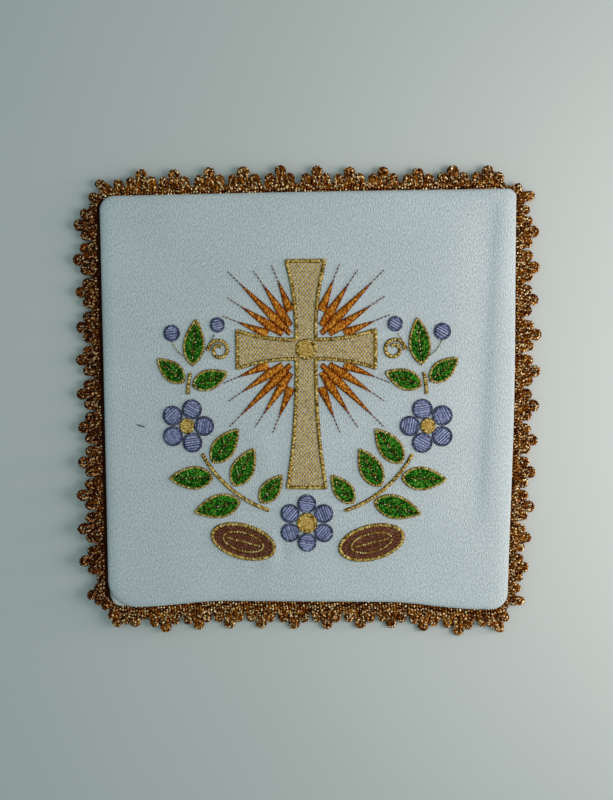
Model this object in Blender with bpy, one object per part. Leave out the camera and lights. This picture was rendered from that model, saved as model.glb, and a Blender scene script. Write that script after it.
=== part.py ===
# Chalice pall: a stiff square of white cloth with an embroidered emblem and a gold lace edging.
# It lies flat: +Z is up, +Y is the emblem's top, and the origin is under the middle of its outline.

import math
import random

import bmesh
import bpy
from mathutils import Matrix, Vector

MM = 0.001  # the sizes below are in millimetres, and the meshes in metres
GAP = 0.3  # left between pieces that touch

# Outline of the stiffened square, clockwise from the upper left, as the sides meet unrounded
CORNERS = (
    # x, y, rounding of the back, rounding of the front
    (-79.4, 80.3, 5.5, 5.5),
    (79.3, 80.7, 3.4, 3.4),
    (77.9, -80.6, 6.4, 6.4),
    (-79.7, -81.4, 5.0, 10.5),
)
SIDES = (
    # how far the side is drawn in, and the shares of its length where that starts and is full
    (-0.2, 0.0, 0.5),  # top
    (-0.9, 0.0, 0.5),  # right
    (2.7, 0.07, 0.3),  # bottom
    (0.1, 0.0, 0.5),  # left
)
CORNER_STEPS = 6
SIDE_STEPS = 15
BOW_FADE = 45.0  # the drawn-in sides straighten out over this far towards the middle
ROUNDING_LOSS = 0.35  # share of the inset by which a corner's rounding shrinks
LEAST_ROUNDING = 1.6

# Both panels in section: inset from the outline and height, from the underside up
BACK_SECTION = ((1.8, 0.0), (0.7, 0.22), (0.15, 0.9), (0.55, 1.35), (1.6, 1.6))
FRONT_SECTION = ((1.6, 1.9), (0.5, 2.25), (0.0, 2.95), (0.22, 3.75), (1.0, 4.35), (2.6, 4.58))
FACE_INSETS = (5.5, 8.5, 11.0, 13.5, 16.5, 24.0, 40.0, 60.0)
FACE_HEIGHT = 4.6
FACE_CROWN = 0.3  # extra height at the middle
FACE_HALF = 80.0  # the crown ends this far from the middle

# Soft trough inside the right rim
TROUGH_TOP = (69.3, 66.0)
TROUGH_FOOT = (65.5, -31.0)
TROUGH_WIDTH = 3.4
TROUGH_DEPTH = 0.55
TROUGH_END = 12.0  # it fades out over this length

# Gold edging, measured outwards from the outline and along it
LACE_RUNS = (
    # side, first tip, last tip, scallops, share of the loops' full reach
    (0, -63.2, -50.4, 2, 1.02),
    (0, -36.8, -9.8, 3, 1.1),
    (0, 4.0, 29.4, 3, 1.0),
    (0, 42.7, 68.5, 3, 0.9),
    (1, 77.7, 77.7, 1, 0.75),
    (1, 64.6, 39.0, 3, 0.94),
    (1, 25.6, -0.6, 3, 1.07),
    (1, -13.7, -39.6, 3, 1.01),
    (1, -52.3, -64.2, 2, 0.84),
    (1, -75.5, -75.5, 1, 0.6),
    (2, 72.5, 72.5, 1, 0.9),
    (2, 59.3, -58.2, 10, 0.98),
    (2, -71.8, -71.8, 1, 0.84),
    (3, -76.0, -76.0, 1, 0.88),
    (3, -62.3, 69.6, 11, 1.02),
    (3, 80.5, 80.5, 1, 0.85),
)
HEADING_WIDTH = 2.8
HEADING_SHOWN = (0.3, 0.1, 2.4, 1.4)  # more of it shows on the top, right, bottom and left
LOBES = (
    # along, outwards, radius, first and last angle of the arc that shows
    (-3.9, 4.7, 2.15, 205, 48),
    (0.0, 7.0, 2.35, 183, -3),
    (3.9, 4.7, 2.15, 132, -25),
)
LOBE_STEPS = (5, 7, 5)
LOBE_UNEVEN = 0.12  # share by which reach and radius vary
LEAN_UNEVEN = 0.5
SCALLOP_ROOM = 12.9  # a scallop of full size takes this much of the rim
LACE_HALF = 0.6  # half of the edging's thickness
LACE_TUCK = 0.15  # how far its inner edge reaches under the rim
TUCK_HALF = 0.35  # half of its thickness there
HEADING_CREST = 1.0
ROUND_OVER = 0.45  # inset of the loops' upper and lower edges
LACE_HEIGHT = 1.95  # middle of the heading
TIP_RISE = (0.35, 0.3, -0.85, 0.75)  # how far the loops' tips rise on the same four sides
RISE_REACH = 9.2

# Embroidered emblem: thickness of the stitching over the cloth
FILL = 0.35
CORD = 0.6
CORD_WIDTH = 0.9

CROSSING = (0.0, 21.0)
CROSS_ARMS = (
    # direction, length
    (0, 27.0),
    (90, 34.0),
    (180, 27.0),
    (270, 54.0),
)
ARM_HALF = 4.2
ARM_FLARE = 3.8
FLARE_POWER = 2.2
ARM_STEPS = 4

RAYS = (
    # angle from the horizontal arm, reach
    (22.0, 28.5),
    (33.5, 30.0),
    (45.0, 36.0),
    (56.5, 30.0),
    (68.0, 28.5),
)
RAY_ROOT = 17.0  # where two rays part
FAN_HOLD = 1.1  # the fan stays this far from the cross
FAN_FOOT = 0.55  # the outer rays leave the cross at this share of their reach
FAN_SPREAD = 0.9  # and this much further from it

BRANCH_CENTRE = (0.0, 2.0)
BRANCH_RADIUS = 46.0
BRANCH_HALF = 0.6
BRANCH_FROM = -71.0
BRANCH_TO = 12.5
BRANCH_STEPS = 18
BRANCH_BREAK = (-28.0, 2.5)  # the side blossom sits here

LEAVES = (
    # angle of the foot on the branch, distance from it, direction, length, width
    (-66.0, -1.6, 128.0, 14.0, 7.4),
    (-57.0, 1.6, -14.0, 19.0, 9.2),
    (-50.0, -1.6, 119.0, 17.0, 8.8),
    (-40.0, 1.6, -2.0, 17.5, 9.0),
    (-34.0, -1.6, 128.0, 17.0, 8.8),
    (6.5, -1.6, 160.0, 15.0, 7.8),
    (8.0, 1.6, 40.0, 14.0, 7.6),
    (16.5, 0.0, 96.0, 18.0, 8.2),
)
LEAF_STEPS = 6
LEAF_BELLY = 0.8  # below 1 the leaf is widest nearer its foot
LEAF_FULLNESS = 0.85  # below 1 its ends are blunter

BLOSSOMS = (
    # x, y, petals, petal ring, petal radius, turn
    (0.0, -46.5, 6, 7.6, 4.2, 0.0),
    (46.5, -8.5, 5, 6.8, 4.3, 18.0),
    (-46.5, -8.5, 5, 6.8, 4.3, -18.0),
)
BUDS = ((51.8, 27.5, 3.3), (34.0, 30.5, 3.0))  # x, y, radius, and their mirror images
BUD_STEPS = 14
PETAL_STEPS = 5

POD = (25.0, -54.0, 13.0, 6.9, 15.0)  # x, y, half length, half width, turn, and mirrored
POD_STEPS = 22

TENDRIL_FOOT = (33.5, 20.8)
TENDRIL_RADIUS = 4.2
TENDRIL_TURNS = 1.35
TENDRIL_CLOSE = 0.62  # share of the radius that it loses on its way in
TENDRIL_HALF = 0.5
TENDRIL_STEPS = 22

SHARP_EDGE = 40.0  # edges that bend more than this stay sharp


def unit(start, end):
    """Direction from one point of the plane to another."""
    return (end - start).normalized()


def drawn_in(point, corner, after, side):
    """How far the tight cloth draws a point inwards from the side between two corners."""
    ahead = after - corner
    share = min(max((point - corner).dot(ahead) / ahead.length_squared, 0.0), 1.0)
    bow, first, full = SIDES[side]
    inwards = Vector((ahead.y, -ahead.x)).normalized()
    ramp = min(max((min(share, 1 - share) - first) / (full - first), 0.0), 1.0)
    return bow * ramp * ramp * (3 - 2 * ramp) * inwards


def outline(inset, panel, corner_steps=CORNER_STEPS, side_steps=SIDE_STEPS):
    """Points of the square's outline, clockwise, drawn in by an inset. Panel is 0 back, 1 front."""
    corners = [
        Vector((x - inset * math.copysign(1, x), y - inset * math.copysign(1, y)))
        for x, y, *_ in CORNERS
    ]
    rounding = [
        max(row[2 + panel] - ROUNDING_LOSS * inset, LEAST_ROUNDING) for row in CORNERS
    ]
    fade = max(0.0, 1 - inset / BOW_FADE)
    points = []
    for i, corner in enumerate(corners):
        before = corners[i - 1]
        after = corners[(i + 1) % 4]
        back = unit(corner, before)
        ahead = unit(corner, after)
        middle = corner + rounding[i] * (back + ahead)
        for step in range(corner_steps + 1):
            turn = math.radians(90 * step / corner_steps)
            point = middle - rounding[i] * (math.cos(turn) * ahead + math.sin(turn) * back)
            drawn = drawn_in(point, before, corner, i - 1) + drawn_in(point, corner, after, i)
            points.append(point + fade * drawn)
        start = corner + rounding[i] * ahead
        end = after - rounding[(i + 1) % 4] * ahead
        for step in range(1, side_steps):
            point = start.lerp(end, step / side_steps)
            points.append(point + fade * drawn_in(point, corner, after, i))
    return points


def face_height(x, y):
    """Height of the cloth's face, with its crown and the trough inside the right rim."""
    crown = FACE_CROWN * (1 - (x / FACE_HALF) ** 2) * (1 - (y / FACE_HALF) ** 2)
    share = (y - TROUGH_FOOT[1]) / (TROUGH_TOP[1] - TROUGH_FOOT[1])
    middle = TROUGH_FOOT[0] + share * (TROUGH_TOP[0] - TROUGH_FOOT[0])
    past = max(TROUGH_FOOT[1] - y, y - TROUGH_TOP[1], 0.0)
    depth = TROUGH_DEPTH * math.exp(-((past / TROUGH_END) ** 2))
    return FACE_HEIGHT + crown - depth * math.exp(-(((x - middle) / TROUGH_WIDTH) ** 2))


def finish(name, bm, material):
    """Turns a bmesh in millimetres into an object in metres, closed and facing outwards."""
    bmesh.ops.triangulate(bm, faces=bm.faces)
    bmesh.ops.recalc_face_normals(bm, faces=bm.faces)
    for vert in bm.verts:
        vert.co = (vert.co - ORIGIN) * MM
    mesh = bpy.data.meshes.new(name)
    bm.to_mesh(mesh)
    bm.free()
    mesh.materials.append(material)
    mesh.shade_smooth()
    mesh.set_sharp_from_angle(angle=math.radians(SHARP_EDGE))
    obj = bpy.data.objects.new(name, mesh)
    bpy.context.scene.collection.objects.link(obj)
    return obj


def new_material(name, colour, roughness, metallic=0.0):
    """Principled material of one flat colour (linear)."""
    material = bpy.data.materials.new(name)
    material.use_nodes = True
    shader = material.node_tree.nodes["Principled BSDF"]
    shader.inputs["Base Color"].default_value = (*colour, 1.0)
    shader.inputs["Roughness"].default_value = roughness
    shader.inputs["Metallic"].default_value = metallic
    return material


def add_ring(bm, points):
    """Adds a closed row of points."""
    return [bm.verts.new(point) for point in points]


def bridge(bm, lower, upper):
    """Joins two rows of as many points with quads."""
    count = len(lower)
    for i in range(count):
        j = (i + 1) % count
        bm.faces.new((lower[i], lower[j], upper[j], upper[i]))


def panel_solid(name, panel, section, face_insets, material):
    """A cloth panel: its rounded rim in section, then, on the front, the rows of its face."""
    bm = bmesh.new()
    rings = [
        add_ring(bm, [(p.x, p.y, height) for p in outline(inset, panel)])
        for inset, height in section
    ]
    for inset in face_insets:
        points = outline(inset, panel)
        rings.append(add_ring(bm, [(p.x, p.y, face_height(p.x, p.y)) for p in points]))
    for lower, upper in zip(rings, rings[1:]):
        bridge(bm, lower, upper)
    bm.faces.new(rings[0])
    bm.faces.new(rings[-1])
    return finish(name, bm, material)


class Rim:
    """The back's outline as a path, so that the edging can follow it by length."""

    CORNER_FINE = 16
    SIDE_FINE = 32

    def __init__(self):
        self.points = outline(0.0, 0, self.CORNER_FINE, self.SIDE_FINE)
        self.reach = [0.0]
        for i, point in enumerate(self.points):
            after = self.points[(i + 1) % len(self.points)]
            self.reach.append(self.reach[-1] + (after - point).length)
        self.length = self.reach[-1]

    def at(self, along):
        """Point of the path, and the direction outwards there."""
        along %= self.length
        low, high = 0, len(self.points) - 1
        while low < high:
            middle = (low + high + 1) // 2
            if self.reach[middle] <= along:
                low = middle
            else:
                high = middle - 1
        after = (low + 1) % len(self.points)
        share = (along - self.reach[low]) / (self.reach[low + 1] - self.reach[low])
        point = self.points[low].lerp(self.points[after], share)
        normal = self.normal(low).lerp(self.normal(after), share).normalized()
        return point, normal

    def normal(self, index):
        """Direction outwards at one of the path's own points."""
        ahead = self.points[(index + 1) % len(self.points)] - self.points[index - 1]
        return Vector((-ahead.y, ahead.x)).normalized()

    def station(self, side, place):
        """Length along the path at which a side has this x, or this y on the left and right."""
        first = side * (self.CORNER_FINE + self.SIDE_FINE) + self.CORNER_FINE
        start = self.points[first]
        offset = (place - start.x, start.y - place, start.x - place, place - start.y)[side]
        return self.reach[first] + offset


def for_side(values, normal):
    """A value given for the top, right, bottom and left, blended round the corners."""
    top, right, bottom, left = values
    upright = top * max(normal.y, 0) ** 2 + bottom * min(normal.y, 0) ** 2
    return upright + right * max(normal.x, 0) ** 2 + left * min(normal.x, 0) ** 2


def lace_rise(normal, outwards):
    """How far the edging stands over its heading, this far outwards on the side facing this way."""
    return for_side(TIP_RISE, normal) * max(outwards, 0.0) / RISE_REACH


def scallop_rows(rim):
    """Each scallop's place along the rim, its reach, its size and its middle loop's lean."""
    uneven = random.Random(11)
    rows = []
    for side, first, last, count, reach in LACE_RUNS:
        for i in range(count):
            place = first + (last - first) * i / max(count - 1, 1)
            size = 1 + LOBE_UNEVEN * uneven.uniform(-0.5, 0.5)
            lean = LEAN_UNEVEN * uneven.uniform(-1, 1)
            long = reach * (1 + LOBE_UNEVEN * uneven.uniform(-0.5, 0.5))
            rows.append((rim.station(side, place) % rim.length, long, size, lean))
    rows.sort()
    fitted = []
    for i, (along, long, size, lean) in enumerate(rows):
        before = (along - rows[i - 1][0]) % rim.length
        after = (rows[(i + 1) % len(rows)][0] - along) % rim.length
        fitted.append((along, long, min(size, min(before, after) / SCALLOP_ROOM), lean))
    return fitted


def lace_outline(rim, rows, inset):
    """Outer edge of the edging: three loops for each scallop and the dip after it."""
    points = []
    for i, (along, long, size, lean) in enumerate(rows):
        for lobe, steps in zip(LOBES, LOBE_STEPS):
            beside, outwards, radius, first, last = lobe
            middle_loop = beside == 0
            foot, normal = rim.at(along + beside * size + (lean if middle_loop else 0.0))
            across = Vector((normal.y, -normal.x))
            centre = foot + (outwards * long + for_side(HEADING_SHOWN, normal)) * normal
            for step in range(steps + 1):
                turn = math.radians(first + (last - first) * step / steps)
                spoke = math.cos(turn) * across + math.sin(turn) * normal
                point = centre + (radius * size - inset) * spoke
                points.append((point, normal, (point - foot).dot(normal)))
        after = rows[(i + 1) % len(rows)][0]
        if after < along:
            after += rim.length
        foot, normal = rim.at((along + after) / 2)
        dip = HEADING_WIDTH + for_side(HEADING_SHOWN, normal) - inset
        points.append((foot + dip * normal, normal, dip))
    return points


def lace_middle():
    """Middle of the edging's outline, which the origin is set under."""
    rim = Rim()
    points = [point for point, *_ in lace_outline(rim, scallop_rows(rim), 0.0)]
    xs = [point.x for point in points]
    ys = [point.y for point in points]
    return Vector(((min(xs) + max(xs)) / 2, (min(ys) + max(ys)) / 2, 0.0))


ORIGIN = lace_middle()


def lace_solid(material):
    """The edging as one closed ring: tucked heading, and loops with rounded-over edges."""
    rim = Rim()
    rows = scallop_rows(rim)
    bm = bmesh.new()

    def loop_ring(inset, half):
        return add_ring(
            bm,
            [
                (p.x, p.y, LACE_HEIGHT + lace_rise(normal, out) + half)
                for p, normal, out in lace_outline(rim, rows, inset)
            ],
        )

    def heading_ring(outwards, half):
        points = outline(-outwards, 0)
        return add_ring(bm, [(p.x, p.y, LACE_HEIGHT + half) for p in points])

    outer = loop_ring(0.0, 0.0)
    upper = loop_ring(ROUND_OVER, LACE_HALF)
    lower = loop_ring(ROUND_OVER, -LACE_HALF)
    crest = heading_ring(HEADING_CREST, LACE_HALF)
    trough = heading_ring(HEADING_CREST, -LACE_HALF)
    tuck_upper = heading_ring(-LACE_TUCK, TUCK_HALF)
    tuck_lower = heading_ring(-LACE_TUCK, -TUCK_HALF)
    bridge(bm, lower, outer)
    bridge(bm, outer, upper)
    bridge(bm, crest, tuck_upper)
    bridge(bm, tuck_upper, tuck_lower)
    bridge(bm, tuck_lower, trough)
    for inner_ring, outer_ring in ((crest, upper), (trough, lower)):
        edges = [
            bm.edges.get((ring[i - 1], ring[i])) or bm.edges.new((ring[i - 1], ring[i]))
            for ring in (inner_ring, outer_ring)
            for i in range(len(ring))
        ]
        bmesh.ops.triangle_fill(bm, edges=edges, use_beauty=True, normal=(0, 0, 1))
    return finish("lace_trim", bm, material)


def motif(name, points, material, corded=True):
    """A raised stitched shape on the face: a cord round its edge and a lower filling inside it."""
    bm = bmesh.new()
    base = bm.faces.new([bm.verts.new((x, y, 0.0)) for x, y in points])
    if base.normal.z > 0:
        base.normal_flip()
    top = bmesh.ops.extrude_face_region(bm, geom=[base])["geom"]
    top_face = next(part for part in top if isinstance(part, bmesh.types.BMFace))
    crown = CORD if corded else FILL
    for vert in top_face.verts:
        vert.co.z = crown
    bmesh.ops.recalc_face_normals(bm, faces=bm.faces)
    if corded:
        bmesh.ops.inset_region(bm, faces=[top_face], thickness=CORD_WIDTH, use_even_offset=True)
        for vert in top_face.verts:
            vert.co.z = FILL
    else:
        bmesh.ops.inset_region(bm, faces=[top_face], thickness=CORD_WIDTH / 2)
        for vert in top_face.verts:
            vert.co.z = CORD
    for vert in bm.verts:
        vert.co.z += face_height(vert.co.x, vert.co.y) + GAP
    return finish(name, bm, material)


def turned(points, x, y, degrees):
    """Points turned about the origin, then moved to a place."""
    turn = Matrix.Rotation(math.radians(degrees), 2)
    return [tuple(turn @ Vector(point) + Vector((x, y))) for point in points]


def mirrored(points):
    """Points mirrored about the emblem's upright middle line."""
    return [(-x, y) for x, y in reversed(points)]


def cross_outline():
    """The cross, counter-clockwise: four arms that flare towards flat ends."""
    points = []
    for direction, length in CROSS_ARMS:
        arm = []
        for step in range(ARM_STEPS + 1):
            share = step / ARM_STEPS
            along = ARM_HALF + share * (length - ARM_HALF)
            arm.append((along, ARM_HALF + ARM_FLARE * share**FLARE_POWER))
        lower = [(along, -half) for along, half in arm]
        upper = [(along, half) for along, half in reversed(arm)]
        points += turned(lower + upper[:-1], *CROSSING, direction)
    return points


def fan_outline(across, up):
    """A fan of rays in one quarter of the crossing. Across and up are its signs."""
    inner = ARM_HALF + FAN_HOLD
    points = [(inner, inner), (RAYS[0][1] * FAN_FOOT, inner + FAN_SPREAD)]
    for i, (angle, reach) in enumerate(RAYS):
        turn = math.radians(angle)
        points.append((reach * math.cos(turn), reach * math.sin(turn)))
        if i < len(RAYS) - 1:
            between = math.radians((angle + RAYS[i + 1][0]) / 2)
            points.append((RAY_ROOT * math.cos(between), RAY_ROOT * math.sin(between)))
    points.append((inner + FAN_SPREAD, RAYS[-1][1] * FAN_FOOT))
    placed = [(CROSSING[0] + across * x, CROSSING[1] + up * y) for x, y in points]
    return placed if across * up > 0 else placed[::-1]


def disc_outline(x, y, radius, steps):
    """A round motif."""
    turns = [math.tau * step / steps for step in range(steps)]
    return [(x + radius * math.cos(turn), y + radius * math.sin(turn)) for turn in turns]


def blossom_outline(x, y, petals, ring, radius, turn):
    """A flower of round petals that meet in notches."""
    half = math.pi / petals
    notch = math.asin(ring * math.sin(half) / radius) if ring * math.sin(half) < radius else half
    points = []
    for petal in range(petals):
        aim = math.radians(turn) + math.tau * petal / petals + math.pi / 2
        spread = math.pi - half - notch
        for step in range(PETAL_STEPS + 1):
            angle = aim + spread * (2 * step / PETAL_STEPS - 1)
            points.append(
                (
                    x + ring * math.cos(aim) + radius * math.cos(angle),
                    y + ring * math.sin(aim) + radius * math.sin(angle),
                )
            )
    return points


def leaf_outline(length, width):
    """A pointed oval leaf from its foot at the origin along +X, counter-clockwise."""
    lower = []
    for step in range(1, LEAF_STEPS):
        share = step / LEAF_STEPS
        half = width / 2 * math.sin(math.pi * share**LEAF_BELLY) ** LEAF_FULLNESS
        lower.append((length * share, -half))
    upper = [(x, -y) for x, y in reversed(lower)]
    return [(0.0, 0.0), *lower, (length, 0.0), *upper]


def band_outline(path, half):
    """A narrow band along a path."""
    left, right = [], []
    for i, point in enumerate(path):
        ahead = unit(path[max(i - 1, 0)], path[min(i + 1, len(path) - 1)])
        side = half * Vector((-ahead.y, ahead.x))
        left.append(tuple(point + side))
        right.append(tuple(point - side))
    return right + left[::-1]


def branch_path(first, last):
    """Part of the branch, as points on its arc."""
    path = []
    for step in range(BRANCH_STEPS + 1):
        turn = math.radians(first + (last - first) * step / BRANCH_STEPS)
        path.append(Vector(BRANCH_CENTRE) + BRANCH_RADIUS * Vector((math.cos(turn), math.sin(turn))))
    return path


def leaf_at(angle, beside, direction, length, width):
    """A leaf whose foot is beside the branch."""
    turn = math.radians(angle)
    foot = Vector(BRANCH_CENTRE) + (BRANCH_RADIUS + beside) * Vector((math.cos(turn), math.sin(turn)))
    return turned(leaf_outline(length, width), foot.x, foot.y, direction)


def tendril_path():
    """A curl that winds in from its foot."""
    path = []
    for step in range(TENDRIL_STEPS + 1):
        share = step / TENDRIL_STEPS
        turn = math.tau * TENDRIL_TURNS * share
        radius = TENDRIL_RADIUS * (1 - TENDRIL_CLOSE * share)
        path.append(Vector(TENDRIL_FOOT) + radius * Vector((math.cos(turn), math.sin(turn))))
    return path


def both_sides(name, points, material, corded=True):
    """The motif on the right, and its mirror image on the left."""
    motif(name + "_right", points, material, corded)
    motif(name + "_left", mirrored(points), material, corded)


def emblem(gold, orange, green, violet, brown):
    """The embroidered emblem: a cross with rays over two leafy branches with blossoms and pods."""
    motif("cross", cross_outline(), gold)
    for across, up in ((1, 1), (-1, 1), (-1, -1), (1, -1)):
        name = "rays_" + ("upper" if up > 0 else "lower") + ("_right" if across > 0 else "_left")
        motif(name, fan_outline(across, up), orange, corded=False)
    for part, (first, last) in enumerate(
        ((BRANCH_FROM, BRANCH_BREAK[0]), (BRANCH_BREAK[1], BRANCH_TO)), start=1
    ):
        path = branch_path(first, last)
        both_sides(f"branch_{part}", band_outline(path, BRANCH_HALF), gold, corded=False)
    for count, row in enumerate(LEAVES, start=1):
        both_sides(f"leaf_{count}", leaf_at(*row), green)
    for count, row in enumerate(BLOSSOMS, start=1):
        motif(f"blossom_{count}", blossom_outline(*row), violet)
    for count, (x, y, radius) in enumerate(BUDS, start=1):
        both_sides(f"bud_{count}", disc_outline(x, y, radius, BUD_STEPS), violet)
    x, y, half_length, half_width, turn = POD
    oval = [(half_length * px, half_width * py) for px, py in disc_outline(0, 0, 1, POD_STEPS)]
    both_sides("pod", turned(oval, x, y, turn), brown)
    both_sides("tendril", band_outline(tendril_path(), TENDRIL_HALF), gold, corded=False)


def build():
    """Makes every piece of the pall."""
    for obj in list(bpy.data.objects):
        bpy.data.objects.remove(obj, do_unlink=True)
    white = new_material("white_cloth", (0.56, 0.63, 0.64), 0.75)
    back_white = new_material("back_cloth", (0.66, 0.70, 0.71), 0.8)
    lace_gold = new_material("gold_lace", (0.32, 0.14, 0.035), 0.38, 0.8)
    gold = new_material("gold_thread", (0.45, 0.28, 0.05), 0.4, 0.6)
    orange = new_material("orange_thread", (0.68, 0.22, 0.02), 0.45, 0.2)
    green = new_material("green_thread", (0.01, 0.16, 0.03), 0.45, 0.2)
    violet = new_material("violet_thread", (0.14, 0.13, 0.36), 0.5)
    brown = new_material("brown_thread", (0.09, 0.035, 0.025), 0.6)
    panel_solid("back_panel", 0, BACK_SECTION, (), back_white)
    panel_solid("front_panel", 1, FRONT_SECTION, FACE_INSETS, white)
    lace_solid(lace_gold)
    emblem(gold, orange, green, violet, brown)


build()
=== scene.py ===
import bisect
import math
import random

import bmesh
import bpy
from mathutils import Matrix, Vector


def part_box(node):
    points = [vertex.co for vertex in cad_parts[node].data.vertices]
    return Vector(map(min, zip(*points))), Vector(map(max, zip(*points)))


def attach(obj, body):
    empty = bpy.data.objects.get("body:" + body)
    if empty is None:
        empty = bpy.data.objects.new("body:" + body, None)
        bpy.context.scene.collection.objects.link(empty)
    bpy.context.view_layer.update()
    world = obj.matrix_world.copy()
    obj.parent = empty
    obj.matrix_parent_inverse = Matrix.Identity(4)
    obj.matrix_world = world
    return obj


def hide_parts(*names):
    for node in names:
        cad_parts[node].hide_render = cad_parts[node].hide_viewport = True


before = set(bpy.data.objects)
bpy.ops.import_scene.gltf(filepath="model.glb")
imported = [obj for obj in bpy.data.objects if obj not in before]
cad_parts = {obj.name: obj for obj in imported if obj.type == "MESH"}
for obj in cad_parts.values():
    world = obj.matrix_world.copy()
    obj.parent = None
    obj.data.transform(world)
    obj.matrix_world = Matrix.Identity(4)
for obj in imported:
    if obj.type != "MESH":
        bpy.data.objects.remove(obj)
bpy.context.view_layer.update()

# Chalice pall: a stiff square of white cloth, an embroidered emblem and a gold lace edging.
# All sizes are millimetres on the pall's own plan, with +Y at the emblem's top and z from the surface.
# finishPiece takes them to the frame's metres.
mm = 0.001


# Nodes

class Wire:  # an output socket, so that maths on it reads as maths
    def __init__(self, board, socket):
        self.board = board
        self.socket = socket

    def __add__(self, other):
        return self.board.maths("ADD", self, other)

    def __radd__(self, other):
        return self.board.maths("ADD", other, self)

    def __sub__(self, other):
        return self.board.maths("SUBTRACT", self, other)

    def __rsub__(self, other):
        return self.board.maths("SUBTRACT", other, self)

    def __mul__(self, other):
        return self.board.maths("MULTIPLY", self, other)

    def __rmul__(self, other):
        return self.board.maths("MULTIPLY", other, self)

    def __truediv__(self, other):
        return self.board.maths("DIVIDE", self, other)


class Board:  # a node tree that is filled one node at a time
    def __init__(self, tree):
        self.tree = tree

    def add(self, kind, settings=None, sockets=None, output=0):
        node = self.tree.nodes.new(kind)
        for name, value in (settings or {}).items():
            if name == "stops":
                self.setStops(node.color_ramp, value)
            else:
                setattr(node, name, value)
        self.plug(node, sockets or {})
        return Wire(self, node.outputs[output])

    def plug(self, node, sockets):  # links the wires and sets the other values
        for name, value in sockets.items():
            if isinstance(value, Wire):
                self.tree.links.new(value.socket, node.inputs[name])
            else:
                node.inputs[name].default_value = value

    def setStops(self, ramp, stops):
        while len(ramp.elements) < len(stops):
            ramp.elements.new(0.5)
        for element, (place, colour) in zip(ramp.elements, stops):
            element.position = place
            element.color = (*colour, 1.0)

    def another(self, wire, output):  # another output of the node that a wire comes from
        return Wire(self, wire.socket.node.outputs[output])

    def maths(self, operation, first, second=0.0):
        return self.add("ShaderNodeMath", {"operation": operation}, {0: first, 1: second})

    def vector(self, operation, first, second=None, scale=None):
        sockets = {0: first}
        if second is not None:
            sockets[1] = second
        if scale is not None:
            sockets["Scale"] = scale
        return self.add("ShaderNodeVectorMath", {"operation": operation}, sockets)

    def mix(self, factor, first, second):
        colours = [part if isinstance(part, Wire) else (*part, 1.0) for part in (first, second)]
        sockets = {"Factor": factor, 6: colours[0], 7: colours[1]}
        return self.add("ShaderNodeMix", {"data_type": "RGBA"}, sockets, 2)

    def noise(self, place, scale, detail, roughness=0.5):
        sockets = {"Vector": place, "Scale": scale, "Detail": detail, "Roughness": roughness}
        return self.add("ShaderNodeTexNoise", {}, sockets)

    def stretch(self, value, low, high):  # 0 at the low value and 1 at the high one
        return self.add("ShaderNodeMapRange", {}, {"Value": value, 1: low, 2: high})

    def attribute(self, name):
        return self.add("ShaderNodeAttribute", {"attribute_name": name}, output="Fac")


def geometryBoard(name, whole, real):  # with the names of its whole-number inputs and of its others
    group = bpy.data.node_groups.new(name, "GeometryNodeTree")
    group.interface.new_socket("Geometry", in_out="OUTPUT", socket_type="NodeSocketGeometry")
    kinds = {"Geometry": "Geometry", "Int": whole, "Float": real, "Material": "material"}
    for kind, words in kinds.items():
        for socketName in words.split():
            group.interface.new_socket(socketName, in_out="INPUT", socket_type="NodeSocket" + kind)
    board = Board(group)
    entry = group.nodes.new("NodeGroupInput")
    board.inputs = {socket.name: Wire(board, socket) for socket in entry.outputs if socket.name}
    return board


def sourceCurves(board, measure, value):  # the source's lines, cut anew by "Length" or by "Count"
    line = board.add("GeometryNodeMeshToCurve", {}, {0: board.inputs["Geometry"]})
    settings = {"mode": measure.upper()}
    return board.add("GeometryNodeResampleCurve", settings, {"Curve": line, measure: value})


def randomNumber(board, least, most):  # one for each curve or point
    index = board.add("GeometryNodeInputIndex")
    sockets = {2: least, 3: most, "ID": index, "Seed": board.inputs["seed"]}
    return board.add("FunctionNodeRandomValue", {"data_type": "FLOAT"}, sockets, 1)


def storeNumber(board, curve, name, value, domain="POINT"):
    settings = {"data_type": "FLOAT", "domain": domain}
    sockets = {"Geometry": curve, "Name": name, "Value": value}
    return board.add("GeometryNodeStoreNamedAttribute", settings, sockets)


def storeShade(board, curve):  # a number from 0 to 1 for each thread, which its material reads
    return storeNumber(board, curve, "shade", randomNumber(board, 0.0, 1.0), "CURVE")


def storeEnding(board, curve):  # 1 at a thread's ends and 0 further in, for the painted shade there
    reach = board.add("GeometryNodeSplineParameter", output="Length")
    whole = board.add("GeometryNodeSplineLength")
    nearer = board.maths("MINIMUM", reach, whole - reach)
    value = board.maths("MAXIMUM", 1.0 - nearer / board.inputs["fade"])
    return storeNumber(board, curve, "ending", value)


def closeThreads(board, curve):  # every tree ends in round threads of its material
    given = board.inputs
    reach = board.add("GeometryNodeSplineParameter", output="Length")
    curve = storeNumber(board, curve, "reach", reach)  # for the streaks of the material
    circle = {"Resolution": given["sides"], "Radius": given["half"]}
    profile = board.add("GeometryNodeCurvePrimitiveCircle", {"mode": "RADIUS"}, circle)
    sockets = {"Curve": curve, "Profile Curve": profile, "Fill Caps": True}
    shape = board.add("GeometryNodeCurveToMesh", {}, sockets)
    shape = board.add("GeometryNodeRealizeInstances", {}, {0: shape})
    shape = board.add("GeometryNodeSetShadeSmooth", {}, {0: shape})
    shape = board.add("GeometryNodeSetMaterial", {}, {0: shape, "Material": given["material"]})
    ending = board.tree.nodes.new("NodeGroupOutput")
    board.tree.links.new(shape.socket, ending.inputs[0])
    return board.tree


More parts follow.
